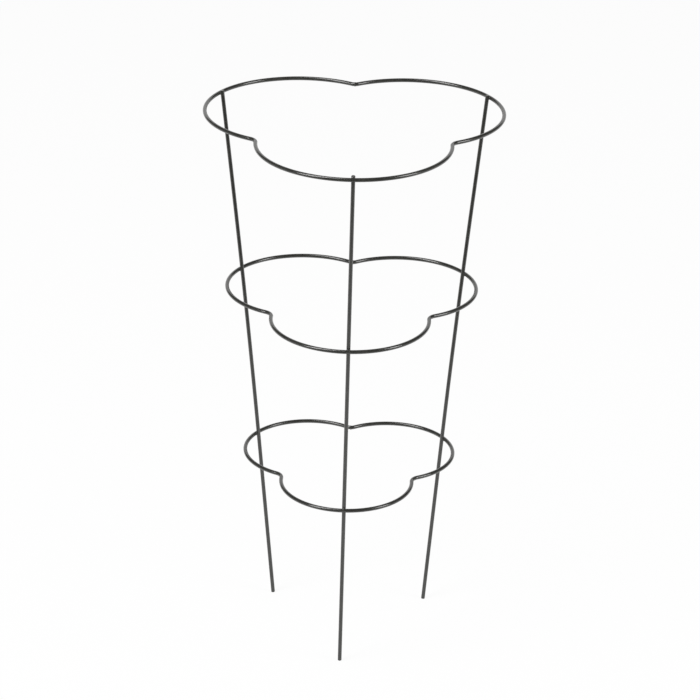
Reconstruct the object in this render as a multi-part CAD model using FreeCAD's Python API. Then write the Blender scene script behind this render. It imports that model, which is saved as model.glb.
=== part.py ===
import FreeCAD, Part
import math
import os

# Plant support cone of round steel wire, in millimetres, +Z up.
#
# Three stakes stand on the ground and lean outwards, one at the front (-Y), one at the back right
# and one at the back left. Three level rings hold them apart. Each ring is one length of wire, bent
# into three lobes with a notch between every two, and closed by a butt weld in its back notch.
# A stake stands inside the tip of each lobe and is welded to it.
# The origin is on the ground, in the middle of the support's bounding box.

# Wire
wire_diameter = 5.0
wire_radius = wire_diameter / 2

# Stakes. The two circles run through the stakes' centre lines, round the cone's axis. A stake's leg
# is straight up to just under the lower ring, and above it the stake bows slightly inwards.
stake_height = 762.0
foot_circle_radius = 126.5
top_circle_radius = 210.5
twist_degrees = 3.05
bow_height = 430.0
bow_inset = 4.5
leg_top_below_ring = 4.5
end_chamfer = 0.4

# Rings. Heights are those of the wire's centre, and radii are those of its centre line.
stake_end_above_ring = 2.0
upper_ring_height = stake_height - stake_end_above_ring - wire_radius
middle_ring_height = 501.0
lower_ring_height = 251.0
upper_lobe_radius = 130.0
middle_lobe_radius = 107.3
lower_lobe_radius = 90.8
notch_bend_radius = 14.5
seam_bend_radius = 8.0

# Welds where a ring crosses a stake
weld_set_down = 0.7
collar_reach = 0.7
electrode_radius = 3.0
electrode_dent = 0.2

# Butt weld that closes a ring
seam_length = 1.6
seam_crown = 0.35

# Angles round the cone's axis, in degrees from the front, anticlockwise from above
SIDES = ("front", "right", "left")
lobe_step_degrees = 360 / len(SIDES)
notch_step_degrees = lobe_step_degrees / 2
seam_degrees = lobe_step_degrees + notch_step_degrees
SIDE_DEGREES = {side: lobe_step_degrees * place for place, side in enumerate(SIDES)}

RINGS = {
    "upper": (upper_ring_height, upper_lobe_radius),
    "middle": (middle_ring_height, middle_lobe_radius),
    "lower": (lower_ring_height, lower_lobe_radius),
}
FORWARD = FreeCAD.Vector(0, -1, 0)
UP = FreeCAD.Vector(0, 0, 1)
ORIGIN = FreeCAD.Vector(0, 0, 0)


def on_circle(radius, degrees, height):
    """The point at a radius, an angle from the front and a height."""
    return FreeCAD.Rotation(UP, degrees).multVec(FORWARD * radius) + UP * height


def turned_copy(shape, degrees):
    """A copy of a shape, turned about the cone's axis."""
    copy = shape.copy()
    copy.rotate(ORIGIN, UP, degrees)
    return copy


def line(start, end):
    """A straight edge."""
    return Part.LineSegment(start, end).toShape()


def arc(start, middle, end):
    """An edge along the circle through three points."""
    return Part.Arc(start, middle, end).toShape()


def start_of(edge):
    """The point where an edge starts."""
    return edge.valueAt(edge.FirstParameter)


def end_of(edge):
    """The point where an edge ends."""
    return edge.valueAt(edge.LastParameter)


def round_bar(path, radius):
    """A round bar along a path of tangent edges."""
    first = path.Edges[0]
    direction = first.tangentAt(first.FirstParameter)
    section = Part.Wire([Part.Circle(start_of(first), direction, radius).toShape()])
    return path.makePipeShell([section], True, False)


def end_rims(bar):
    """The edges round a bar's two flat ends."""
    return [edge for face in bar.Faces if isinstance(face.Surface, Part.Plane) for edge in face.Edges]


def bow_corner(foot, top):
    """Where a stake's straight runs would meet, a little inside the line from foot to top."""
    on_line = foot + (top - foot) * (bow_height / stake_height)
    outwards = FreeCAD.Vector(on_line.x, on_line.y, 0).normalize()
    return on_line - outwards * bow_inset


def end_setback(run):
    """How far a square-cut end stops short on its run, so that its rim just reaches the run's end."""
    return (wire_radius - end_chamfer) * math.tan(run.getAngle(UP))


def stake_path():
    """Centre line of the front stake: the straight leg, the bow and the straight upper end."""
    foot = on_circle(foot_circle_radius, -twist_degrees, 0)
    top = on_circle(top_circle_radius, 0, stake_height)
    corner = bow_corner(foot, top)
    lower_run = (corner - foot).normalize()
    upper_run = (top - corner).normalize()
    half_turn = lower_run.getAngle(upper_run) / 2
    tangent_length = (bow_height - lower_ring_height + leg_top_below_ring) / math.cos(lower_run.getAngle(UP))
    bow_radius = tangent_length / math.tan(half_turn)
    towards_centre = (upper_run - lower_run).normalize()
    past_corner = bow_radius / math.cos(half_turn) - bow_radius
    bow_start = corner - lower_run * tangent_length
    bow_middle = corner + towards_centre * past_corner
    bow_end = corner + upper_run * tangent_length
    start = foot + lower_run * end_setback(lower_run)
    end = top - upper_run * end_setback(upper_run)
    return Part.Wire([line(start, bow_start), arc(bow_start, bow_middle, bow_end), line(bow_end, end)])


def point_at_height(path, height):
    """The point of a stake's centre line at a height, and the line's direction there."""
    corner = FreeCAD.Vector(-stake_height, -stake_height, height)
    level = Part.makePlane(2 * stake_height, 2 * stake_height, corner)
    crossing = path.section(level).Vertexes[0]
    edge = min(path.Edges, key=lambda one: one.distToShape(crossing)[0])
    return crossing.Point, edge.tangentAt(edge.Curve.parameter(crossing.Point))


def ring_seat(path, height):
    """Radius of a ring's lobe tips and the ring's turn, for the tips to meet the stakes."""
    point, direction = point_at_height(path, height)
    outwards = FreeCAD.Vector(point.x, point.y, 0)
    stake_radius = outwards.Length
    slope = direction.dot(outwards.normalize()) / direction.z
    centres_apart = wire_diameter - weld_set_down
    turn = math.degrees(math.atan2(point.x, -point.y))
    return stake_radius + centres_apart * math.sqrt(1 + slope ** 2), turn


def notch_distance(lobe_distance, lobe_radius, bend):
    """From the cone's axis to the centre of a notch bend that touches the lobe on each side."""
    step = math.radians(notch_step_degrees)
    across = lobe_distance * math.sin(step)
    return lobe_distance * math.cos(step) + math.sqrt((lobe_radius + bend) ** 2 - across ** 2)


def touching_point(lobe_centre, lobe_radius, notch_centre):
    """Where a lobe's arc goes over into a notch bend."""
    return lobe_centre + (notch_centre - lobe_centre).normalize() * lobe_radius


def notch_arc(tip_radius, lobe_radius, degrees, bend):
    """The notch bend at an angle, from the lobe before it to the lobe after it."""
    lobe_distance = tip_radius - lobe_radius
    distance = notch_distance(lobe_distance, lobe_radius, bend)
    centre = on_circle(distance, degrees, 0)
    before = on_circle(lobe_distance, degrees - notch_step_degrees, 0)
    after = on_circle(lobe_distance, degrees + notch_step_degrees, 0)
    start = touching_point(before, lobe_radius, centre)
    end = touching_point(after, lobe_radius, centre)
    return arc(start, on_circle(distance - bend, degrees, 0), end)


def seam_parts(bend_edge):
    """The seam's notch bend cut in three: up to the seam, the seam itself, and after it."""
    first, last = bend_edge.FirstParameter, bend_edge.LastParameter
    middle = (first + last) / 2
    half_seam = seam_length / seam_bend_radius / 2
    cuts = [first, middle - half_seam, middle + half_seam, last]
    return [bend_edge.Curve.toShape(low, high) for low, high in zip(cuts, cuts[1:])]


def ring_lines(tip_radius, lobe_radius):
    """Centre lines of a ring's wire, from its seam all the way round, and of the seam."""
    seam_bend = notch_arc(tip_radius, lobe_radius, seam_degrees, seam_bend_radius)
    to_seam, seam, from_seam = seam_parts(seam_bend)
    lobes = [seam_degrees + notch_step_degrees + step for step in SIDE_DEGREES.values()]
    turns = [lobe + notch_step_degrees for lobe in lobes[:-1]]
    notches = [notch_arc(tip_radius, lobe_radius, turn, notch_bend_radius) for turn in turns]
    bends = [from_seam] + notches + [to_seam]
    edges = [from_seam]
    for lobe, before, after in zip(lobes, bends, bends[1:]):
        edges += [arc(end_of(before), on_circle(tip_radius, lobe, 0), start_of(after)), after]
    return Part.Wire(edges), Part.Wire([seam])


def seam_weld(seam_line):
    """Butt weld between a ring's two ends: a raised bead with rounded shoulders."""
    bead = round_bar(seam_line, wire_radius + seam_crown)
    return bead.makeFillet(seam_crown, end_rims(bead))


def closest_pass(ring_line, stake_line):
    """Halfway point where a ring passes the front stake, and the direction from stake to ring."""
    on_ring, on_stake = ring_line.distToShape(stake_line)[1][0]
    return (on_ring + on_stake) / 2, (on_ring - on_stake).normalize()


def electrode(contact, direction):
    """Welding electrode that presses a small flat into the far side of one of the two wires."""
    to_face = (wire_diameter - weld_set_down) / 2 + wire_radius - electrode_dent
    return Part.makeCylinder(electrode_radius, wire_diameter, contact + direction * to_face, direction)


def weld_collar(contact, stake, ring):
    """Metal squeezed out round a crossing, between the two wires."""
    return Part.makeSphere(wire_radius + collar_reach, contact).cut([stake, ring])


def whole_stake(path):
    """A stake as cropped, with its ends chamfered, before it is welded."""
    bar = round_bar(path, wire_radius)
    return bar.makeChamfer(end_chamfer, end_rims(bar))


def build():
    """All pieces by name, in the part's own frame."""
    path = stake_path()
    stake = whole_stake(path)
    welded_stake = stake
    pieces = {}
    for level, (height, lobe_radius) in RINGS.items():
        tip_radius, turn = ring_seat(path, height)
        lines = [turned_copy(one, turn) for one in ring_lines(tip_radius, lobe_radius)]
        for one in lines:
            one.translate(UP * height)
        ring = round_bar(lines[0], wire_radius)
        contact, outwards = closest_pass(lines[0], path)
        collar = weld_collar(contact, stake, ring)
        dents = [turned_copy(electrode(contact, outwards), angle) for angle in SIDE_DEGREES.values()]
        pieces[level + "_ring"] = ring.cut(dents)
        pieces[level + "_ring_seam"] = seam_weld(lines[1])
        for side, angle in SIDE_DEGREES.items():
            pieces[level + "_" + side + "_weld"] = turned_copy(collar, angle)
        welded_stake = welded_stake.cut([ring, electrode(contact, -outwards)])
    for side, angle in SIDE_DEGREES.items():
        pieces[side + "_stake"] = turned_copy(welded_stake, angle)
    lobe_distance = ring_seat(path, upper_ring_height)[0] - upper_lobe_radius
    axis_shift = lobe_distance * (1 - math.cos(math.radians(notch_step_degrees))) / 2
    for shape in pieces.values():
        shape.translate(FORWARD * -axis_shift)
    return pieces


os.makedirs("parts", exist_ok=True)
for name, shape in build().items():
    solid = shape.Solids[0] if len(shape.Solids) == 1 else shape
    solid.exportStep("parts/" + name + ".step")
    print(name, "solids", len(shape.Solids), "valid", solid.isValid(), "volume", round(solid.Volume, 1))
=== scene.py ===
"""Looks of a plant support cone: three coated stakes welded inside three cloverleaf rings.

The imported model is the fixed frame, in metres, with +Z up, the front stake towards -Y and the
origin on the ground in the middle of the support's box. Every piece is a surface worked out with
numpy: round wire is a circle carried along a course of straight runs and arcs, and a weld is the
strip that a ball leaves when it rolls round the place where two wires cross.
"""
import logging
import math
from dataclasses import dataclass, field
from enum import Enum
from typing import Iterable, Mapping, Optional, Sequence, Union

import bpy
import numpy as np
from mathutils import Matrix, Vector


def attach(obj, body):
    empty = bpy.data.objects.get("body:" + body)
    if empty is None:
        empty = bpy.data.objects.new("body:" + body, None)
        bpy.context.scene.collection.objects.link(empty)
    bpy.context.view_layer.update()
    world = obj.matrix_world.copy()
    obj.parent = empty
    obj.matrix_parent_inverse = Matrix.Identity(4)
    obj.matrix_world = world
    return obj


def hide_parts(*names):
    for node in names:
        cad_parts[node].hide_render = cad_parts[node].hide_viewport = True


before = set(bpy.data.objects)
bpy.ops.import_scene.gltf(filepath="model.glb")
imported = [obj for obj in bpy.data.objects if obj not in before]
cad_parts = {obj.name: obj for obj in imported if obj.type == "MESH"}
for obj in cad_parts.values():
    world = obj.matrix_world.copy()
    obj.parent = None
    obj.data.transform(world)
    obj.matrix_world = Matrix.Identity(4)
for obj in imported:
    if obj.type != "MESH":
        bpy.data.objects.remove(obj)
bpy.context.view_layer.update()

Array = np.ndarray
Socket = bpy.types.NodeSocket
Setting = Union[float, Sequence[float], Socket]
Waves = tuple[tuple[float, float], ...]

LOG = logging.getLogger("plant_support_cone")
ROOT_BODY = "root"
MM = 0.001
RIGHTWARDS, FORWARDS, UP = np.array([1.0, 0.0, 0.0]), np.array([0.0, -1.0, 0.0]), np.array([0.0, 0.0, 1.0])
FULL_TURN = 2.0 * math.pi
WHITE = (1.0, 1.0, 1.0, 1.0)

# Angles round the cone's axis, in degrees from the front, anticlockwise from above
LOBE_STEP = 120.0
NOTCH_STEP = LOBE_STEP / 2.0
BACK = LOBE_STEP + NOTCH_STEP


class Side(Enum):
    """A stake's place round the cone's axis."""

    FRONT = 0.0
    RIGHT = LOBE_STEP
    LEFT = 2.0 * LOBE_STEP

    @property
    def word(self) -> str:
        """The side's name as the frame's nodes spell it."""
        return self.name.lower()


class Level(Enum):
    """A ring's place on the cone."""

    UPPER = "upper"
    MIDDLE = "middle"
    LOWER = "lower"


class Slot(Enum):
    """The record's material slots."""

    WIRE_COAT = "wire_coat"
    WELD_COAT = "weld_coat"


class Bend(Enum):
    """Which way an arc of a ring turns, seen from above."""

    OUTWARDS = 1.0
    INWARDS = -1.0


# Vectors and courses


def unit(vector: Array) -> Array:
    """The vector, or each row of an array of vectors, at length one."""
    return vector / np.linalg.norm(vector, axis=-1, keepdims=True)


def level(vector: Array) -> Array:
    """The vector without its height."""
    return vector * (1.0 - UP)


def spin(points: Array, degrees: float) -> Array:
    """Points or directions turned about the cone's axis: (x cos - y sin, x sin + y cos, z).

    Args:
        points: One vector or an array whose last axis is x, y, z.
        degrees: The turn, anticlockwise from above.

    Returns:
        The turned copy.
    """
    turn = math.radians(degrees)
    matrix = np.array([[math.cos(turn), -math.sin(turn), 0.0], [math.sin(turn), math.cos(turn), 0.0], UP])
    return points @ matrix.T


def on_circle(radius: float, degrees: float, height: float = 0.0) -> Array:
    """The point at a radius and an angle from the front, at a height."""
    return spin(FORWARDS * radius, degrees) + UP * height


def soft_step(values: Array) -> Array:
    """3 t^2 - 2 t^3 of values held within 0 to 1."""
    held = np.clip(values, 0.0, 1.0)
    return held * held * (3.0 - 2.0 * held)


def ripple(turns: Array, waves: Waves, rng: np.random.Generator) -> Array:
    """A weld's unevenness at angles round it: the sum over its waves of size x sin(count x turn + phase)."""
    phases = rng.uniform(0.0, FULL_TURN, len(waves))
    return sum(size * np.sin(count * turns + phase) for (count, size), phase in zip(waves, phases))


@dataclass(frozen=True)
class Run:
    """A straight run or an arc of a wire's centre line.

    The point at distance s is start + s t on a straight run, and on an arc of radius r it is
    start + r (1 - cos(s / r)) n + r sin(s / r) t, where t is the direction at the start and n the
    direction from the start to the arc's centre.
    """

    start: Array
    along: Array
    length: float
    to_centre: Optional[Array] = None
    radius: float = math.inf

    def at(self, stations: Array) -> tuple[Array, Array]:
        """Points and directions of the run.

        Args:
            stations: Distances from the run's start, in metres.

        Returns:
            An array of points and one of unit directions, a row for each station.
        """
        column = stations[:, None]
        if self.to_centre is None:
            return self.start + column * self.along, np.repeat(self.along[None], len(stations), axis=0)
        turn = column / self.radius
        inwards = self.radius * (1.0 - np.cos(turn)) * self.to_centre
        points = self.start + inwards + self.radius * np.sin(turn) * self.along
        return points, np.cos(turn) * self.along + np.sin(turn) * self.to_centre

    @property
    def end(self) -> Array:
        """The point where the run ends."""
        return self.at(np.array([self.length]))[0][0]


def flat_arc(centre: Array, start: Array, end: Array, bend: Bend) -> Run:
    """A level arc about a centre.

    Args:
        centre: The arc's centre.
        start: Where the arc starts.
        end: Where it ends.
        bend: Outwards is anticlockwise from above, and inwards clockwise.

    Returns:
        The run, whose sweep is the angle from start to end in that direction.
    """
    first, last = start - centre, end - centre
    radius = float(np.linalg.norm(first))
    sweep = math.atan2(last[1], last[0]) - math.atan2(first[1], first[0])
    sweep = (sweep * bend.value) % FULL_TURN
    along = unit(np.cross(UP, first)) * bend.value
    return Run(start, along, sweep * radius, -unit(first), radius)


@dataclass(frozen=True)
class Course:
    """A wire's centre line, as runs that meet end to end."""

    runs: tuple[Run, ...]

    @property
    def length(self) -> float:
        """Length of the whole course, in metres."""
        return sum(run.length for run in self.runs)

    def at(self, stations: Array) -> tuple[Array, Array]:
        """Points and directions of the course.

        Args:
            stations: Distances from the course's start, in metres.

        Returns:
            An array of points and one of unit directions, a row for each station.
        """
        points, directions = np.zeros((len(stations), 3)), np.zeros((len(stations), 3))
        begin = 0.0
        for place, run in enumerate(self.runs):
            final = place == len(self.runs) - 1
            here = (stations >= begin) & ((stations < begin + run.length) | final)
            points[here], directions[here] = run.at(stations[here] - begin)
            begin += run.length
        return points, directions

    def at_height(self, height: float, steps: int = 12) -> tuple[Array, Array]:
        """Where a rising course passes a height, by Newton's steps on z(s) = height.

        Args:
            height: The height, in metres.
            steps: How many steps are taken.

        Returns:
            The point and the unit direction there.
        """
        station = height
        for _ in range(steps):
            point, direction = self.at(np.array([station]))
            station += float((height - point[0, 2]) / direction[0, 2])
        return point[0], direction[0]

    def nearest_station(self, point: Array, count: int = 4000) -> float:
        """Distance along the course of the sample that lies nearest to a point."""
        stations = np.linspace(0.0, self.length, count)
        return float(stations[np.argmin(np.linalg.norm(self.at(stations)[0] - point, axis=1))])

    def set_out(self, turn: float, height: float) -> "Course":
        """The course turned about the cone's axis and raised, for a course of arcs."""
        return Course(tuple(Run(spin(run.start, turn) + UP * height, spin(run.along, turn), run.length,
                                spin(run.to_centre, turn), run.radius) for run in self.runs))


# Meshes


@dataclass
class Grid:
    """A surface of rows and columns, and the marks that a finish reads from it.

    Row i, column j is the point P(i, j). Columns run round the section and close on themselves.
    Faces look along dP/dj x dP/di, so columns turn anticlockwise about the direction of the rows.
    A mark holds a number or a vector for each point.
    """

    points: Array
    rows_close: bool = False
    marks: dict[str, Array] = field(default_factory=dict)

    def faces(self) -> tuple[Array, Array]:
        """Quads of the grid and the triangles of its end caps.

        Returns:
            Vertex numbers of the quads, (n, 4), and of the triangles, (m, 3), which are none if the
            rows close. The caps' centres are the last two vertices.
        """
        rows, columns = self.points.shape[:2]
        number = np.arange(rows * columns).reshape(rows, columns)
        onwards = np.roll(number, -1, axis=0)
        quads = np.stack([number, np.roll(number, -1, 1), np.roll(onwards, -1, 1), onwards], -1)
        if self.rows_close:
            return quads.reshape(-1, 4), np.zeros((0, 3), dtype=int)
        centre, first, last = np.full(columns, rows * columns), number[0], number[-1]
        start_cap = np.stack([centre, np.roll(first, -1), first], -1)
        end_cap = np.stack([centre + 1, last, np.roll(last, -1)], -1)
        return quads[:-1].reshape(-1, 4), np.vstack([start_cap, end_cap])

    def listed(self, values: Array) -> Array:
        """Lays values out in the order of the vertices, the caps' centres taking their rim's mean.

        Args:
            values: The points or a mark, (rows, columns, ...).

        Returns:
            A row for each vertex.
        """
        flat = values.reshape(-1, *values.shape[2:])
        if self.rows_close:
            return flat
        return np.concatenate([flat, values[:1].mean(axis=1), values[-1:].mean(axis=1)])


def make_piece(name: str, grid: Grid, sharp_above: float = 35.0) -> bpy.types.Object:
    """Turns a grid into an object at the origin, smooth but for its sharp edges.

    Args:
        name: The piece's name.
        grid: Its surface.
        sharp_above: Angle between two faces above which their edge stays sharp, in degrees.

    Returns:
        The new object, linked into the scene.
    """
    vertices = grid.listed(grid.points)
    quads, triangles = grid.faces()
    corners = np.concatenate([quads.ravel(), triangles.ravel()])
    sides = np.concatenate([np.full(len(quads), 4), np.full(len(triangles), 3)])
    mesh = bpy.data.meshes.new(name)
    mesh.vertices.add(len(vertices))
    mesh.vertices.foreach_set("co", vertices.astype(np.float32).ravel())
    mesh.loops.add(len(corners))
    mesh.loops.foreach_set("vertex_index", corners.astype(np.int32))
    mesh.polygons.add(len(sides))
    mesh.polygons.foreach_set("loop_start", (np.cumsum(sides) - sides).astype(np.int32))
    mesh.polygons.foreach_set("use_smooth", np.ones(len(sides), dtype=bool))
    for mark, values in grid.marks.items():
        kind, key = ("FLOAT_VECTOR", "vector") if values.ndim == 3 else ("FLOAT", "value")
        layer = mesh.attributes.new(mark, kind, "POINT")
        layer.data.foreach_set(key, grid.listed(values).astype(np.float32).ravel())
    mesh.update(calc_edges=True)
    mesh.validate()
    mesh.set_sharp_from_angle(angle=math.radians(sharp_above))
    piece = bpy.data.objects.new(name, mesh)
    bpy.context.scene.collection.objects.link(piece)
    return piece


# Finishes


class NodeBoard:
    """Adds nodes to one shader tree and joins them."""

    def __init__(self, tree: bpy.types.NodeTree) -> None:
        """Starts a board on a material's, a world's or a node group's tree, and empties it."""
        self.tree = tree
        tree.nodes.clear()

    def put(self, kind: str, inputs: Mapping[Union[str, int], Setting], **settings: object) -> bpy.types.Node:
        """Adds a node.

        Args:
            kind: The node's type without its first words, such as TexNoise.
            inputs: Values for its inputs, or the outputs that feed them.
            settings: Its other settings, by name.

        Returns:
            The node.
        """
        node = self.tree.nodes.new(kind if kind.startswith("NodeGroup") else "ShaderNode" + kind)
        for name, value in settings.items():
            setattr(node, name, value)
        for key, value in inputs.items():
            if isinstance(value, Socket):
                self.tree.links.new(value, node.inputs[key])
            else:
                node.inputs[key].default_value = value
        return node

    def maths(self, operation: str, first: Setting, second: Setting) -> Socket:
        """The result of an operation, such as MULTIPLY, on two numbers."""
        return self.put("Math", {0: first, 1: second}, operation=operation).outputs[0]

    def noise(self, place: Socket, size: Setting, detail: float) -> Socket:
        """Fractal noise from 0 to 1 whose features are about as large as size."""
        return self.put("TexNoise", {"Vector": place, "Scale": self.maths("DIVIDE", 1.0, size),
                                     "Detail": detail}).outputs[0]

    def ramp(self, value: Socket, low: float, high: float) -> Socket:
        """A number carried smoothly from low..high to 0..1."""
        inputs = {"Value": value, "From Min": low, "From Max": high}
        return self.put("MapRange", inputs, interpolation_type="SMOOTHSTEP").outputs["Result"]

    def between(self, share: Setting, first: Setting, second: Setting) -> Socket:
        """The number between two others at a share."""
        return self.put("Mix", {0: share, 2: first, 3: second}, data_type="FLOAT").outputs[0]

    def swing(self, noise: Socket, size: Setting) -> Socket:
        """A number from 0 to 1 as a swing of a size about nought: (noise - 0.5) x size."""
        return self.maths("MULTIPLY", self.maths("SUBTRACT", noise, 0.5), size)

    def blend(self, share: Setting, first: Setting, second: Setting) -> Socket:
        """The colour between two others at a share."""
        return self.put("Mix", {0: share, 6: first, 7: second}, data_type="RGBA").outputs[2]


FLOAT, COLOUR, VECTOR = "NodeSocketFloat", "NodeSocketColor", "NodeSocketVector"


def group_board(name: str, inputs: Mapping[str, str], outputs: Mapping[str, str]) -> NodeBoard:
    """Starts a shader node group.

    Args:
        name: The group's name.
        inputs: The kind of each input, by name.
        outputs: The kind of each output, by name.

    Returns:
        A board on the group's tree, with its sockets made.
    """
    tree = bpy.data.node_groups.new(name, "ShaderNodeTree")
    for direction, sockets in (("INPUT", inputs), ("OUTPUT", outputs)):
        for socket, kind in sockets.items():
            tree.interface.new_socket(name=socket, in_out=direction, socket_type=kind)
    return NodeBoard(tree)


@dataclass(frozen=True)
class OrangePeel:
    """The skin of baked powder: soft dimples with a fine grain on them, and broad thick and thin patches."""

    smoothness: float = 0.9
    randomness: float = 0.85
    dimple_share: float = 0.6
    wave_detail: float = 1.5
    grain_detail: float = 3.0
    patch_detail: float = 2.0
    patch_range: tuple[float, float] = (0.3, 0.7)

    def group(self) -> bpy.types.NodeTree:
        """Builds the node group.

        The height is peel depth x dimples + grain depth x grain, where dimples is a share of a
        smooth Voronoi distance plus a broad noise, and grain a fine noise.

        Returns:
            A group with the outputs Height, in metres, and Patches, from 0 to 1.
        """
        names = ("Peel Size", "Peel Depth", "Grain Size", "Grain Depth", "Patch Size")
        board = group_board("orange_peel", {"Vector": VECTOR, **dict.fromkeys(names, FLOAT)},
                            {"Height": FLOAT, "Patches": FLOAT})
        given = board.put("NodeGroupInput", {}).outputs
        place, peel_size = given["Vector"], given["Peel Size"]
        cells = board.put("TexVoronoi", {
            "Vector": place, "Scale": board.maths("DIVIDE", 1.0, peel_size),
            "Smoothness": self.smoothness, "Randomness": self.randomness,
        }, feature="SMOOTH_F1").outputs["Distance"]
        waves = board.noise(place, peel_size, self.wave_detail)
        dimples = board.maths("MULTIPLY", board.maths("ADD", cells, waves), self.dimple_share)
        grain = board.noise(place, given["Grain Size"], self.grain_detail)
        height = board.maths("ADD", board.maths("MULTIPLY", dimples, given["Peel Depth"]),
                             board.maths("MULTIPLY", grain, given["Grain Depth"]))
        broad = board.noise(place, given["Patch Size"], self.patch_detail)
        patches = board.ramp(broad, *self.patch_range)
        board.put("NodeGroupOutput", {"Height": height, "Patches": patches})
        return board.tree


@dataclass(frozen=True)
class RubbedCoat:
    """Where the coat is rubbed through to the steel."""

    bare_range: tuple[float, float] = (0.55, 0.7)
    chip_detail: float = 4.0

    def group(self) -> bpy.types.NodeTree:
        """Builds the node group.

        The share that is bare is a smooth step over the bare range of
        rub + (noise - 0.5) x breakup.

        Returns:
            A group with the outputs Color, Roughness and Metallic.
        """
        names = ("Rub", "Breakup", "Chip Size", "Coat Roughness", "Steel Roughness")
        inputs = {"Vector": VECTOR, "Coat Color": COLOUR, "Steel Color": COLOUR}
        outputs = {"Color": COLOUR, "Roughness": FLOAT, "Metallic": FLOAT}
        board = group_board("rubbed_coat", {**inputs, **dict.fromkeys(names, FLOAT)}, outputs)
        given = board.put("NodeGroupInput", {}).outputs
        noise = board.noise(given["Vector"], given["Chip Size"], self.chip_detail)
        uneven = board.swing(noise, given["Breakup"])
        bare = board.ramp(board.maths("ADD", given["Rub"], uneven), *self.bare_range)
        board.put("NodeGroupOutput", {
            "Color": board.blend(bare, given["Coat Color"], given["Steel Color"]),
            "Roughness": board.between(bare, given["Coat Roughness"], given["Steel Roughness"]),
            "Metallic": bare,
        })
        return board.tree


@dataclass
class SurfaceEffects:
    """The node groups that finishes share, built once."""

    orange_peel: bpy.types.NodeTree = field(default_factory=OrangePeel().group)
    rubbed: bpy.types.NodeTree = field(default_factory=RubbedCoat().group)


@dataclass(frozen=True)
class PowderCoat:
    """Satin black powder baked on steel wire."""

    slot: Slot
    dark: tuple[float, ...] = (0.0290, 0.0293, 0.0262, 1.0)
    pale: tuple[float, ...] = (0.0385, 0.0389, 0.0349, 1.0)
    steel: tuple[float, ...] = (0.30, 0.29, 0.27, 1.0)
    roughness: float = 0.15
    roughness_spread: float = 0.05
    ior: float = 1.62
    peel_size: float = 1.6 * MM
    peel_depth: float = 0.02 * MM
    grain_size: float = 0.18 * MM
    grain_depth: float = 0.0012 * MM
    patch_size: float = 12.0 * MM
    line_length: float = 40.0 * MM
    line_width: float = 0.6 * MM
    line_depth: float = 0.003 * MM
    line_detail: float = 2.0
    breakup: float = 0.7
    chip_size: float = 0.5 * MM
    steel_roughness: float = 0.35

    def material(self, effects: SurfaceEffects) -> bpy.types.Material:
        """Builds the finish's material.

        Args:
            effects: The node groups that finishes share.

        Returns:
            A material that reads Object coordinates and the marks rub and wire_place.
        """
        material = bpy.data.materials.new(self.slot.value)
        material.use_nodes = True
        board = NodeBoard(material.node_tree)
        place = board.put("TexCoord", {}).outputs["Object"]
        skin = board.put("Group", {
            "Vector": place, "Patch Size": self.patch_size,
            "Peel Size": self.peel_size, "Peel Depth": self.peel_depth,
            "Grain Size": self.grain_size, "Grain Depth": self.grain_depth,
        }, node_tree=effects.orange_peel)
        patches = skin.outputs["Patches"]
        uneven = board.swing(patches, self.roughness_spread)
        rubbed = board.put("Group", {
            "Vector": place, "Breakup": self.breakup, "Chip Size": self.chip_size,
            "Rub": board.put("Attribute", {}, attribute_name="rub").outputs["Fac"],
            "Coat Color": board.blend(patches, self.dark, self.pale), "Steel Color": self.steel,
            "Coat Roughness": board.maths("ADD", uneven, self.roughness),
            "Steel Roughness": self.steel_roughness,
        }, node_tree=effects.rubbed)
        height = board.maths("ADD", skin.outputs["Height"], self.draw_lines(board))
        bump = board.put("Bump", {"Strength": 1.0, "Distance": 1.0, "Height": height})
        shader = board.put("BsdfPrincipled", {
            "Base Color": rubbed.outputs["Color"], "Roughness": rubbed.outputs["Roughness"],
            "Metallic": rubbed.outputs["Metallic"], "Normal": bump.outputs["Normal"], "IOR": self.ior,
        })
        board.put("OutputMaterial", {"Surface": shader.outputs[0]})
        return material

    def draw_lines(self, board: NodeBoard) -> Socket:
        """Height of the faint lines that drawing leaves: depth x a noise stretched along the wire."""
        place = board.put("Attribute", {}, attribute_name="wire_place").outputs["Vector"]
        per_line = (1.0 / self.line_length, 1.0 / self.line_width, 1.0 / self.line_width)
        laid = board.put("Mapping", {"Vector": place, "Scale": per_line}).outputs["Vector"]
        return board.maths("MULTIPLY", board.noise(laid, 1.0, self.line_detail), self.line_depth)


class Finish(Enum):
    """The finishes of the support."""

    WIRE = PowderCoat(Slot.WIRE_COAT)
    WELD = PowderCoat(Slot.WELD_COAT, roughness=0.14, peel_size=2.2 * MM, peel_depth=0.03 * MM,
                      line_depth=0.0)


class Coater:
    """Keeps one material for each finish, and gives it to pieces."""

    def __init__(self) -> None:
        """Builds the materials of every finish."""
        effects = SurfaceEffects()
        self.materials = {finish: finish.value.material(effects) for finish in Finish}

    def coat(self, piece: bpy.types.Object, finish: Finish, node: str) -> None:
        """Gives a piece its finish, lets it ride on the body and puts it in the place of its node.

        Args:
            piece: The new piece.
            finish: Its finish.
            node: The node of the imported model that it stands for.
        """
        piece.data.materials.append(self.materials[finish])
        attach(piece, ROOT_BODY)
        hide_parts(node)
        LOG.info("%s: %d vertices, %s", piece.name, len(piece.data.vertices), finish.value.slot.value)


# Shapes of the support


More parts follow.
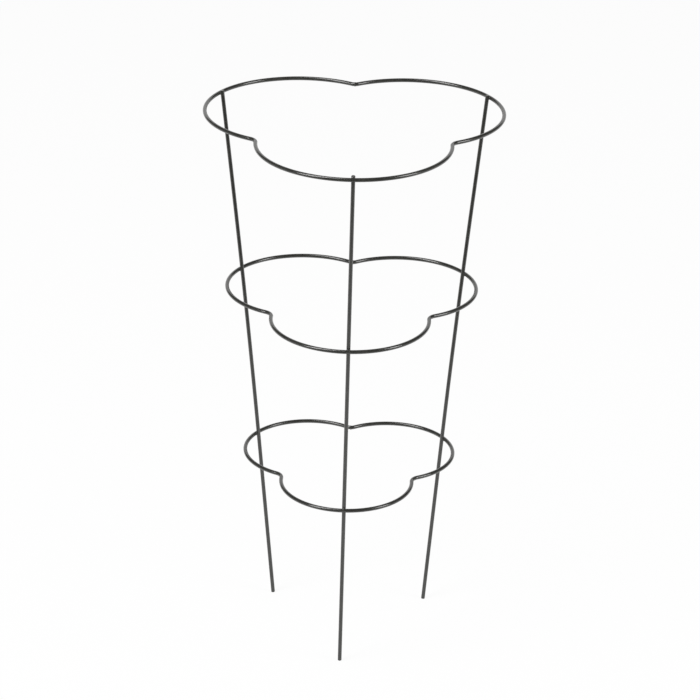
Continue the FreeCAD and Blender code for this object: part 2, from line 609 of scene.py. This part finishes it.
@dataclass(frozen=True)
class WireGauge:
    """The wire of stakes and rings: round steel under a coat of powder."""

    steel_radius: float = 2.5 * MM
    coat: float = 0.2 * MM
    columns: int = 48
    pitch: float = 1.5 * MM
    fine_pitch: float = 0.15 * MM
    least_pitch: float = 0.05 * MM

    @property
    def radius(self) -> float:
        """Radius over the coat."""
        return self.steel_radius + self.coat

    def stations(self, length: float, fine: Iterable[tuple[float, float]]) -> Array:
        """Distances along a course at which the wire's section is set.

        Args:
            length: The course's length.
            fine: Stretches that need fine steps, each a middle and a reach to both sides.

        Returns:
            Rising distances from 0 to the length.
        """
        coarse, close = np.linspace(0.0, length, int(length / self.pitch) + 1), []
        for middle, reach in fine:
            low, high = max(middle - reach, 0.0), min(middle + reach, length)
            coarse = coarse[(coarse <= low) | (coarse >= high)]
            close.append(np.linspace(low, high, int((high - low) / self.fine_pitch) + 1))
        merged = np.unique(np.concatenate([coarse, *close, [0.0, length]]))
        keep = np.concatenate([[True], np.diff(merged) > self.least_pitch])
        keep[-1] = True
        return merged[keep]


@dataclass(frozen=True)
class Section:
    """The sections of a wire: distances, centres, the two directions across it, and the turns round it."""

    stations: Array
    centres: Array
    across: Array
    turns: Array

    @property
    def rays(self) -> Array:
        """Unit directions out of the wire, (rows, columns, 3): cos(a) A + sin(a) B."""
        cosines, sines = np.cos(self.turns)[None, :, None], np.sin(self.turns)[None, :, None]
        return cosines * self.across[:, None, 0] + sines * self.across[:, None, 1]

    def swept(self, reach: Array) -> Array:
        """Points at a reach along the rays, (rows, columns, 3)."""
        return self.centres[:, None] + self.rays * reach[..., None]

    def wire_place(self, radius: float) -> Array:
        """Each point's place on the straightened wire of radius r: distance along, r cos a and r sin a."""
        across = [radius * np.cos(self.turns), radius * np.sin(self.turns)]
        return np.stack(np.broadcast_arrays(self.stations[:, None], *across), axis=-1)


def sections(course: Course, stations: Array, leaning_from: Array, columns: int) -> Section:
    """Sections of a wire along its course.

    The first direction across is the part of a reference direction that is square to the course,
    and the second is course x first, so the columns turn anticlockwise about the course.

    Args:
        course: The wire's centre line.
        stations: Distances along it.
        leaning_from: The reference direction.
        columns: How many points a section has.

    Returns:
        The sections.
    """
    centres, along = course.at(stations)
    first = unit(leaning_from - (along @ leaning_from)[:, None] * along)
    second = np.cross(along, first)
    turns = np.arange(columns) * (FULL_TURN / columns)
    return Section(stations, centres, np.stack([first, second], axis=1), turns)


@dataclass(frozen=True)
class Crossing:
    """Where a ring's wire passes outside a stake and is welded to it."""

    ring_point: Array
    stake_point: Array
    ring_along: Array
    outwards: Array

    @property
    def middle(self) -> Array:
        """Halfway between the two centre lines."""
        return (self.ring_point + self.stake_point) / 2.0

    @property
    def half_apart(self) -> float:
        """Half the distance between the two centre lines."""
        return float(np.linalg.norm(self.ring_point - self.stake_point)) / 2.0

    def turned(self, degrees: float) -> "Crossing":
        """The same crossing at another stake."""
        parts = (self.ring_point, self.stake_point, self.ring_along, self.outwards)
        return Crossing(*(spin(part, degrees) for part in parts))


@dataclass(frozen=True)
class StakeShape:
    """Sizes of a stake: a straight leg, a slight inward bow above the lower ring, a straight upper end."""

    height: float = 762.0 * MM
    foot_circle_radius: float = 126.5 * MM
    top_circle_radius: float = 210.5 * MM
    twist_degrees: float = 3.05
    bow_height: float = 430.0 * MM
    bow_inset: float = 4.5 * MM
    end_chamfer: float = 0.4 * MM

    def course(self, gauge: WireGauge, leg_top: float) -> Course:
        """Centre line of the front stake about the cone's axis.

        The two straight runs would meet at a corner that lies inside the line from foot to top, and
        an arc of radius tangent / tan(half the turn) rounds the corner.

        Args:
            gauge: The stake's wire.
            leg_top: Height at which the straight leg ends.

        Returns:
            The course, from the foot's cut end to the top's.
        """
        foot = on_circle(self.foot_circle_radius, -self.twist_degrees)
        top = on_circle(self.top_circle_radius, 0.0, self.height)
        on_line = foot + (top - foot) * (self.bow_height / self.height)
        corner = on_line - unit(level(on_line)) * self.bow_inset
        lower, upper = unit(corner - foot), unit(top - corner)
        half_turn = math.acos(float(np.clip(lower @ upper, -1.0, 1.0))) / 2.0
        tangent = (self.bow_height - leg_top) / float(lower[2])
        radius = tangent / math.tan(half_turn)
        start = foot + lower * self.setback(lower, gauge)
        end = top - upper * self.setback(upper, gauge)
        bow_start, bow_end = corner - lower * tangent, corner + upper * tangent
        to_centre = unit(upper - lower * float(lower @ upper))
        leg = Run(start, lower, float(np.linalg.norm(bow_start - start)))
        bow = Run(bow_start, lower, 2.0 * half_turn * radius, to_centre, radius)
        tip = Run(bow_end, upper, float(np.linalg.norm(end - bow_end)))
        return Course((leg, bow, tip))

    def setback(self, along: Array, gauge: WireGauge) -> float:
        """How far a square-cut end stops short, so that its rim just reaches the run's end."""
        return (gauge.steel_radius - self.end_chamfer) * math.tan(math.acos(float(along[2])))


@dataclass(frozen=True)
class RingShape:
    """Sizes of a cloverleaf ring: three lobes with a notch between every two, closed at the back."""

    height: float
    lobe_radius: float
    notch_radius: float = 14.5 * MM
    seam_radius: float = 8.0 * MM
    seam_length: float = 1.6 * MM

    def notch(self, lobe_distance: float, degrees: float, bend: float) -> Run:
        """The bend at an angle, from the lobe before it to the lobe after it.

        Its centre lies at d cos(step) + sqrt((lobe radius + bend)^2 - (d sin(step))^2) from the
        axis, where d is the lobe distance and step the angle from a lobe to a notch.

        Args:
            lobe_distance: From the cone's axis to a lobe's centre.
            degrees: The notch's angle from the front.
            bend: The bend's radius.

        Returns:
            An arc that curves the other way from the lobes.
        """
        turn = math.radians(NOTCH_STEP)
        across = lobe_distance * math.sin(turn)
        outwards = math.sqrt((self.lobe_radius + bend) ** 2 - across ** 2)
        centre = on_circle(lobe_distance * math.cos(turn) + outwards, degrees)
        lobes = (on_circle(lobe_distance, degrees + step) for step in (-NOTCH_STEP, NOTCH_STEP))
        start, end = (lobe + unit(centre - lobe) * self.lobe_radius for lobe in lobes)
        return flat_arc(centre, start, end, Bend.INWARDS)

    def courses(self, tip_radius: float, turn: float) -> tuple[Course, Course]:
        """Centre lines of the ring's wire and of its closing weld.

        Args:
            tip_radius: From the cone's axis to the tip of a lobe.
            turn: The ring's turn about the axis, in degrees.

        Returns:
            The wire's course, from the seam all the way round, and the seam's short course.
        """
        distance = tip_radius - self.lobe_radius
        bend = self.notch(distance, BACK, self.seam_radius)
        half = (bend.length - self.seam_length) / 2.0
        cuts, ways = bend.at(np.array([half, half + self.seam_length]))
        seam, from_seam = (Run(cut, way, length, unit(np.cross(way, UP)), self.seam_radius)
                           for cut, way, length in zip(cuts, ways, (self.seam_length, half)))
        to_seam = Run(bend.start, bend.along, half, bend.to_centre, self.seam_radius)
        notches = [self.notch(distance, BACK + LOBE_STEP * count, self.notch_radius) for count in (1, 2)]
        bends = [from_seam, *notches, to_seam]
        runs = [from_seam]
        for count, (before, after) in enumerate(zip(bends, bends[1:])):
            lobe = on_circle(distance, BACK + NOTCH_STEP + LOBE_STEP * count)
            runs += [flat_arc(lobe, before.end, after.start, Bend.OUTWARDS), after]
        return Course(tuple(runs)).set_out(turn, self.height), Course((seam,)).set_out(turn, self.height)


@dataclass(frozen=True)
class CrossWeldShape:
    """Sizes of a weld where a ring crosses a stake."""

    set_down: float = 0.7 * MM
    fillet_radius: float = 0.85 * MM
    electrode_radius: float = 3.0 * MM
    electrode_dent: float = 0.2 * MM
    dent_edge: float = 1.1 * MM
    least_lean: float = 0.5
    least_square: float = 1e-12
    waves: Waves = ((2.0, 0.09), (3.0, 0.06), (7.0, 0.04))
    rows: int = 72
    ball_steps: int = 9
    seat_steps: int = 4
    first_turn: float = 1e-4

    def dented(self, section: Section, reach: Array, point: Array, far_side: Array, radius: float) -> Array:
        """Presses the electrode's flat into a wire.

        A ray of length R that leans from the far side is cut back to the flat by
        R - (radius - dent) / (ray . far side), and that amount fades out over the flat's edge.

        Args:
            section: The wire's sections.
            reach: Length of each ray so far, (rows, columns).
            point: The point of the wire's centre line at the crossing.
            far_side: Direction from that point to the flat.
            radius: The wire's radius.

        Returns:
            The rays' new lengths.
        """
        away = np.linalg.norm(section.centres - point, axis=1)
        fade = soft_step((self.electrode_radius - away) / self.dent_edge)
        lean = np.maximum(section.rays @ far_side, self.least_lean)
        pressed = np.maximum(reach - (radius - self.electrode_dent) / lean, 0.0)
        return reach - pressed * fade[:, None]

    def saddled(self, section: Section, reach: Array, crossing: Crossing, radius: float) -> Array:
        """Cuts the ring's wire out of a stake.

        With D the part of (section centre - ring point) square to the ring and U that of a ray, the
        ray enters the ring's wire at the smaller root R of |D + R U| = radius.

        Args:
            section: The stake's sections.
            reach: Length of each ray so far, (rows, columns).
            crossing: The crossing.
            radius: The wire's radius.

        Returns:
            The rays' new lengths.
        """
        axis = crossing.ring_along
        offset = section.centres - crossing.ring_point
        offset = (offset - (offset @ axis)[:, None] * axis)[:, None]
        rays = section.rays - (section.rays @ axis)[..., None] * axis
        a, b, c = (rays ** 2).sum(-1), (rays * offset).sum(-1), (offset ** 2).sum(-1) - radius ** 2
        inside = b * b - a * c
        meets = (inside > 0.0) & (b < 0.0)
        nearer = -b - np.sqrt(np.maximum(inside, 0.0))
        root = np.where(meets, nearer / np.maximum(a, self.least_square), np.inf)
        return np.minimum(reach, np.where(root > 0.0, root, np.inf))

    def fillet(self, crossing: Crossing, radius: float, rng: np.random.Generator) -> Grid:
        """The collar of squeezed-out metal round a crossing.

        A ball of radius f rolls round the crossing and touches both wires. The collar's outside is
        the ball's great arc between its two touching points, and its inside follows the two wires
        back. Points are worked out with x along the ring, y across it and z from stake to ring.

        Args:
            crossing: The crossing.
            radius: The wires' radius.
            rng: Draws the small unevenness of the collar.

        Returns:
            A grid that closes both ways.
        """
        turns = np.linspace(0.0, FULL_TURN, self.rows, endpoint=False) + self.first_turn
        ball = self.fillet_radius * (1.0 + ripple(turns, self.waves, rng))[:, None]
        gap, none = crossing.half_apart, 0.0 * turns
        centre = self.rolling_centre(turns, radius + ball[:, 0], gap)
        to_ring = unit(np.stack([none, -centre[:, 1], gap - centre[:, 2]], -1))
        to_stake = unit(np.stack([-centre[:, 0], none, -gap - centre[:, 2]], -1))
        opening = np.arccos(np.clip((to_ring * to_stake).sum(-1), -1.0, 1.0))[:, None]
        arc = []
        for share in np.linspace(0.0, 1.0, self.ball_steps):
            ray = np.sin((1.0 - share) * opening) * to_ring + np.sin(share * opening) * to_stake
            arc.append(centre + ball * ray / np.sin(opening))
        rim = self.rolling_centre(turns, none + radius, gap)
        stake_side = self.along_wire(arc[-1], rim, 1, -gap, radius)
        ring_side = self.along_wire(rim, arc[0], 0, gap, radius)
        loop = np.stack([*arc, *stake_side, rim, *ring_side], axis=1)
        across = np.cross(crossing.outwards, crossing.ring_along)
        points = loop @ np.stack([crossing.ring_along, across, crossing.outwards]) + crossing.middle
        return Grid(points, rows_close=True)

    def rolling_centre(self, turns: Array, apart: Array, gap: float) -> Array:
        """Centres of a ball that keeps a distance d from both centre lines.

        At the angle p about the contact, z = -(d - g) cos 2p, x = sign(cos p) sqrt(d^2 - (z + g)^2)
        and y = sign(sin p) sqrt(d^2 - (z - g)^2), with g half the distance between the lines.

        Args:
            turns: The angles p.
            apart: The distances d.
            gap: Half the distance g between the centre lines.

        Returns:
            The centres, (angles, 3).
        """
        z = -(apart - gap) * np.cos(2.0 * turns)
        x = np.sign(np.cos(turns)) * np.sqrt(np.maximum(apart ** 2 - (z + gap) ** 2, 0.0))
        y = np.sign(np.sin(turns)) * np.sqrt(np.maximum(apart ** 2 - (z - gap) ** 2, 0.0))
        return np.stack([x, y, z], axis=-1)

    def along_wire(self, start: Array, end: Array, axis: int, height: float, radius: float) -> list[Array]:
        """Steps from one curve to another over a wire.

        Args:
            start: Points of the first curve.
            end: Points of the second.
            axis: Which axis the wire lies along.
            height: The wire's height.
            radius: Its radius.

        Returns:
            The curves between, each point pushed out to the wire's surface.
        """
        shares = np.arange(1, self.seat_steps) / self.seat_steps
        points = [start + (end - start) * share for share in shares]
        middles = [point * np.eye(3)[axis] + UP * height for point in points]
        return [middle + unit(point - middle) * radius for point, middle in zip(points, middles)]


@dataclass(frozen=True)
class SeamShape:
    """Sizes of the butt weld that closes a ring."""

    crown: float = 0.35 * MM
    fullness: int = 6
    waves: Waves = ((2.0, 0.12), (5.0, 0.08))
    rows: int = 25

    def bead(self, course: Course, gauge: WireGauge, rng: np.random.Generator) -> Grid:
        """The raised bead between the wire's two ends.

        At distance s of a bead of length l the radius is r + c sqrt(1 - |2 s / l - 1|^fullness),
        with the crown c a little uneven round the wire.

        Args:
            course: The seam's centre line.
            gauge: The ring's wire.
            rng: Draws the unevenness.

        Returns:
            The bead's grid, capped at both ends.
        """
        shares = (1.0 - np.cos(np.linspace(0.0, math.pi, self.rows))) / 2.0
        section = sections(course, shares * course.length, UP, gauge.columns)
        rise = self.crown * np.sqrt(1.0 - np.abs(2.0 * shares - 1.0) ** self.fullness)
        uneven = 1.0 + ripple(section.turns, self.waves, rng)
        return Grid(section.swept(gauge.radius + rise[:, None] * uneven))


@dataclass
class ConeWork:
    """The support's wires and crossings, laid out about the cone's axis and moved to the frame."""

    gauge: WireGauge = field(default_factory=WireGauge)
    stake: StakeShape = field(default_factory=StakeShape)
    weld: CrossWeldShape = field(default_factory=CrossWeldShape)
    stake_end_above_ring: float = 2.0 * MM
    middle_ring_height: float = 501.0 * MM
    lower_ring_height: float = 251.0 * MM
    leg_top_below_ring: float = 4.5 * MM
    upper_lobe_radius: float = 130.0 * MM
    middle_lobe_radius: float = 107.3 * MM
    lower_lobe_radius: float = 90.8 * MM

    def __post_init__(self) -> None:
        """Lays out the front stake, the rings seated on it and their crossings."""
        upper_height = self.stake.height - self.stake_end_above_ring - self.gauge.steel_radius
        self.rings = {
            Level.UPPER: RingShape(upper_height, self.upper_lobe_radius),
            Level.MIDDLE: RingShape(self.middle_ring_height, self.middle_lobe_radius),
            Level.LOWER: RingShape(self.lower_ring_height, self.lower_lobe_radius),
        }
        leg_top = self.lower_ring_height - self.leg_top_below_ring
        self.stake_course = self.stake.course(self.gauge, leg_top)
        self.ring_courses = {place: ring.courses(*self.seat(ring)) for place, ring in self.rings.items()}
        self.crossings = {place: self.crossing(ring) for place, ring in self.rings.items()}
        lobe_distance = self.seat(self.rings[Level.UPPER])[0] - self.upper_lobe_radius
        self.axis_shift = -FORWARDS * lobe_distance * (1.0 - math.cos(math.radians(NOTCH_STEP))) / 2.0

    def seat(self, ring: RingShape) -> tuple[float, float]:
        """Radius of a ring's lobe tips and the ring's turn, for its lobes to meet the stakes.

        Args:
            ring: The ring.

        Returns:
            The tip radius in metres and the turn in degrees.
        """
        point, way = self.stake_course.at_height(ring.height)
        slope = float(way @ unit(level(point)) / way[2])
        apart = 2.0 * self.gauge.steel_radius - self.weld.set_down
        tip = math.hypot(point[0], point[1]) + apart * math.sqrt(1.0 + slope ** 2)
        return tip, math.degrees(math.atan2(point[0], -point[1]))

    def crossing(self, ring: RingShape) -> Crossing:
        """The crossing of a ring and the front stake, at their common square.

        Args:
            ring: The ring.

        Returns:
            The crossing, with its outward direction square to both wires.
        """
        tip_radius, turn = self.seat(ring)
        tip, ring_along = on_circle(tip_radius, turn, ring.height), spin(RIGHTWARDS, turn)
        point, way = self.stake_course.at_height(ring.height)
        outwards = unit(np.cross(way, ring_along))
        outwards = outwards * np.sign(outwards @ tip)
        apart = float((tip - point) @ outwards)
        slide = float((tip - outwards * apart - point) @ way)
        return Crossing(tip, point + way * slide, ring_along, outwards)

    def placed(self, grid: Grid, degrees: float = 0.0) -> Grid:
        """A grid turned about the cone's axis and moved to the frame, changed in place."""
        grid.points = spin(grid.points, degrees) + self.axis_shift
        return grid


# Sub-assemblies


@dataclass
class Stakes:
    """The three stakes."""

    work: ConeWork
    coater: Coater
    weld_reach: float = 5.0 * MM
    end_reach: float = 3.0 * MM
    scuffed_length: float = 1.3 * MM
    foot_scuff: float = 0.55

    def surface(self) -> Grid:
        """The front stake, with its chamfered ends, the rings' saddles and the electrodes' flats.

        The radius at distance s is the wire's, less the chamfer's (c - s) within c of an end, and
        then cut by each crossing.

        Returns:
            The grid, about the cone's axis.
        """
        course, gauge, weld = self.work.stake_course, self.work.gauge, self.work.weld
        crossings = list(self.work.crossings.values())
        fine = [(course.nearest_station(one.stake_point), self.weld_reach) for one in crossings]
        fine += [(0.0, self.end_reach), (course.length, self.end_reach)]
        chamfer = self.work.stake.end_chamfer
        ends = [0.0, chamfer / 2.0, chamfer, course.length - chamfer, course.length - chamfer / 2.0]
        stations = np.unique(np.concatenate([gauge.stations(course.length, fine), ends]))
        section = sections(course, stations, FORWARDS, gauge.columns)
        from_end = np.minimum(stations, course.length - stations)
        round_reach = gauge.radius - np.maximum(chamfer - from_end, 0.0)
        reach = np.repeat(round_reach[:, None], gauge.columns, axis=1)
        for one in crossings:
            reach = weld.saddled(section, reach, one, gauge.radius)
            reach = weld.dented(section, reach, one.stake_point, -one.outwards, gauge.radius)
        scuff = self.foot_scuff * (1.0 - soft_step(stations / self.scuffed_length))
        rub = np.repeat(scuff[:, None], gauge.columns, axis=1)
        return Grid(section.swept(reach), marks={"rub": rub, "wire_place": section.wire_place(gauge.radius)})

    def build(self) -> None:
        """Builds and coats the three stakes."""
        for side in Side:
            node = side.word + "_stake"
            piece = make_piece(node + "_wire", self.work.placed(self.surface(), side.value))
            self.coater.coat(piece, Finish.WIRE, node)


@dataclass
class Rings:
    """The three cloverleaf rings."""

    work: ConeWork
    coater: Coater
    weld_reach: float = 5.0 * MM

    def surface(self, place: Level) -> Grid:
        """A ring's wire, with the electrodes' flats.

        Args:
            place: Which ring.

        Returns:
            The grid, about the cone's axis, capped where the closing weld sits.
        """
        course, gauge = self.work.ring_courses[place][0], self.work.gauge
        crossings = [self.work.crossings[place].turned(side.value) for side in Side]
        fine = [(course.nearest_station(one.ring_point), self.weld_reach) for one in crossings]
        section = sections(course, gauge.stations(course.length, fine), UP, gauge.columns)
        reach = np.full((len(section.stations), gauge.columns), gauge.radius)
        for one in crossings:
            reach = self.work.weld.dented(section, reach, one.ring_point, one.outwards, gauge.radius)
        return Grid(section.swept(reach), marks={"wire_place": section.wire_place(gauge.radius)})

    def build(self) -> None:
        """Builds and coats the three rings."""
        for place in Level:
            node = place.value + "_ring"
            piece = make_piece(node + "_wire", self.work.placed(self.surface(place)))
            self.coater.coat(piece, Finish.WIRE, node)


@dataclass
class Welds:
    """The welds at the crossings, and those that close the rings."""

    work: ConeWork
    coater: Coater
    seam: SeamShape = field(default_factory=SeamShape)
    seed: int = 11

    def build(self) -> None:
        """Builds and coats every weld."""
        rng, work = np.random.default_rng(self.seed), self.work
        for place in Level:
            for side in Side:
                node = f"{place.value}_{side.word}_weld"
                grid = work.weld.fillet(work.crossings[place], work.gauge.radius, rng)
                piece = make_piece(node + "_fillet", work.placed(grid, side.value))
                self.coater.coat(piece, Finish.WELD, node)
            node = place.value + "_ring_seam"
            bead = self.seam.bead(work.ring_courses[place][1], work.gauge, rng)
            self.coater.coat(make_piece(node + "_bead", work.placed(bead)), Finish.WELD, node)


# Studio


@dataclass(frozen=True)
class SoftBox:
    """A soft box: where it hangs as seen from the support, how large it is and how bright its cloth is."""

    name: str
    azimuth: float
    elevation: float
    width: float
    height: float
    radiance: float
    distance: float = 6.0
    aim: tuple[float, float, float] = (0.0, 0.0, 0.4)

    def hang(self) -> None:
        """Makes the lamp, which faces its aim. Its power is pi x area x radiance."""
        data = bpy.data.lights.new(self.name, "AREA")
        data.shape = "RECTANGLE"
        data.size, data.size_y = self.width, self.height
        data.energy = math.pi * self.width * self.height * self.radiance
        turn, rise = math.radians(self.azimuth), math.radians(self.elevation)
        away = Vector((math.sin(turn) * math.cos(rise), -math.cos(turn) * math.cos(rise), math.sin(rise)))
        lamp = bpy.data.objects.new(self.name, data)
        lamp.location = Vector(self.aim) + away * self.distance
        lamp.rotation_euler = (-away).to_track_quat("-Z", "Y").to_euler()
        lamp.visible_camera = False
        bpy.context.scene.collection.objects.link(lamp)
        LOG.info("%s: %.0f W", self.name, data.energy)


@dataclass(frozen=True)
class CameraFit:
    """The camera, as a fit to the support's image gives it."""

    elevation: float = 24.843
    distance: float = 4.4111
    target: tuple[float, float, float] = (0.0, 0.02107, 0.38)
    pan: float = -0.0021
    tilt: float = 0.4887
    roll: float = 1.0557
    focal_pixels: float = 3166.9
    frame_pixels: float = 700.0
    sensor: float = 36.0
    clip_end: float = 100.0

    def place(self) -> None:
        """Makes the camera.

        It stands at the target + distance x (0, -cos e, sin e), looks at the target turned by the
        pan and the tilt, and is rolled about its line of sight.
        """
        rise, roll = math.radians(self.elevation), math.radians(self.roll)
        back = FORWARDS * math.cos(rise) + UP * math.sin(rise)
        over = np.cross(RIGHTWARDS, -back)
        pan, tilt = math.tan(math.radians(self.pan)), math.tan(math.radians(self.tilt))
        ahead = unit(-back + pan * RIGHTWARDS + tilt * over)
        right = unit(np.cross(ahead, over))
        over = np.cross(right, ahead)
        across = math.cos(roll) * right + math.sin(roll) * over
        upright = math.cos(roll) * over - math.sin(roll) * right
        data = bpy.data.cameras.new("camera")
        data.sensor_width = self.sensor
        data.lens = self.sensor * self.focal_pixels / self.frame_pixels
        data.clip_end = self.clip_end
        camera = bpy.data.objects.new("camera", data)
        matrix = np.eye(4)
        position = np.array(self.target) + self.distance * back
        matrix[:3] = np.column_stack([across, upright, -ahead, position])
        camera.matrix_world = Matrix(matrix.tolist())
        bpy.context.scene.collection.objects.link(camera)
        bpy.context.scene.camera = camera


@dataclass
class Studio:
    """White paper under and behind the support, a dim room in front of it, two soft boxes and the camera.

    A black wire shows its surroundings more than its own colour. The camera sees white everywhere,
    and a reflection sees white only where the paper would be.
    """

    floor_size: float = 60.0
    floor_albedo: float = 0.9
    glow_share: float = 0.93
    paper_front: float = -1.0
    paper_fade: float = 1.2
    wall_range: tuple[float, float] = (0.70, 0.82)
    room: float = 0.012
    ambient: float = 0.20
    camera: CameraFit = field(default_factory=CameraFit)
    boxes: tuple[SoftBox, ...] = (
        SoftBox("left_box", azimuth=-55.0, elevation=50.0, width=2.32, height=7.2, radiance=7.2),
        SoftBox("right_box", azimuth=66.0, elevation=26.5, width=2.16, height=4.2, radiance=6.4),
    )

    def surround(self) -> None:
        """Makes the world.

        It is white to the camera and through glass, and dim where it only lights. A reflection sees
        white behind the support, where its direction's y is high, and the dim room elsewhere.
        """
        world = bpy.data.worlds.new("surround")
        world.use_nodes = True
        board = NodeBoard(world.node_tree)
        path = board.put("LightPath", {}).outputs
        way = board.put("TexCoord", {}).outputs["Generated"]
        forth = board.put("SeparateXYZ", {"Vector": way}).outputs["Y"]
        wall = board.maths("MAXIMUM", board.ramp(forth, *self.wall_range), self.room)
        reflected = board.between(path["Is Glossy Ray"], self.ambient, wall)
        seen = board.maths("MAXIMUM", path["Is Camera Ray"], path["Is Transmission Ray"])
        strength = board.maths("MAXIMUM", seen, reflected)
        light = board.put("Background", {"Color": WHITE, "Strength": strength})
        board.put("OutputWorld", {"Surface": light.outputs[0]})
        bpy.context.scene.world = world

    def paper(self) -> bpy.types.Material:
        """The floor's material: matt white, with a white glow mixed in where it is seen or reflected.

        The camera sees the glow mixed with the matt paper, which keeps the support's shadow. A
        reflection sees the glow alone, fading to the dim room past the paper's front edge.

        Returns:
            The material.
        """
        material = bpy.data.materials.new("white_paper")
        material.use_nodes = True
        board = NodeBoard(material.node_tree)
        path = board.put("LightPath", {}).outputs
        place = board.put("TexCoord", {}).outputs["Object"]
        forth = board.put("SeparateXYZ", {"Vector": place}).outputs["Y"]
        half_fade = self.paper_fade / 2.0
        fade = board.ramp(forth, self.paper_front - half_fade, self.paper_front + half_fade)
        seen = board.maths("MAXIMUM", path["Is Camera Ray"], path["Is Transmission Ray"])
        strength = board.maths("MAXIMUM", seen, board.maths("MAXIMUM", fade, self.room))
        share = board.maths("MAXIMUM", board.maths("MULTIPLY", seen, self.glow_share), path["Is Glossy Ray"])
        matt = board.put("BsdfDiffuse", {"Color": (self.floor_albedo,) * 3 + (1.0,)})
        glow = board.put("Emission", {"Color": WHITE, "Strength": strength})
        both = board.put("MixShader", {0: share, 1: matt.outputs[0], 2: glow.outputs[0]})
        board.put("OutputMaterial", {"Surface": both.outputs[0]})
        return material

    def lay_floor(self) -> None:
        """Lays the floor at z = 0."""
        half = self.floor_size / 2.0
        corners = [(-half, -half, 0.0), (half, -half, 0.0), (half, half, 0.0), (-half, half, 0.0)]
        mesh = bpy.data.meshes.new("floor")
        mesh.from_pydata(corners, [], [(0, 1, 2, 3)])
        mesh.materials.append(self.paper())
        floor = bpy.data.objects.new("floor", mesh)
        bpy.context.scene.collection.objects.link(floor)

    def build(self) -> None:
        """Builds the surroundings, the lamps and the camera."""
        self.surround()
        self.lay_floor()
        for box in self.boxes:
            box.hang()
        self.camera.place()
        bpy.context.scene.view_settings.view_transform = "Standard"


def note_sizes() -> None:
    LOG.info("size file written")


def main() -> None:
    """Builds the support and its studio, in order."""
    logging.basicConfig(level=logging.INFO, format="%(name)s: %(message)s")
    LOG.info("frame: %d nodes", len(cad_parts))
    work = ConeWork()
    coater = Coater()
    Stakes(work, coater).build()
    Rings(work, coater).build()
    Welds(work, coater).build()
    Studio().build()
    note_sizes()


if __name__ == "__main__":
    main()
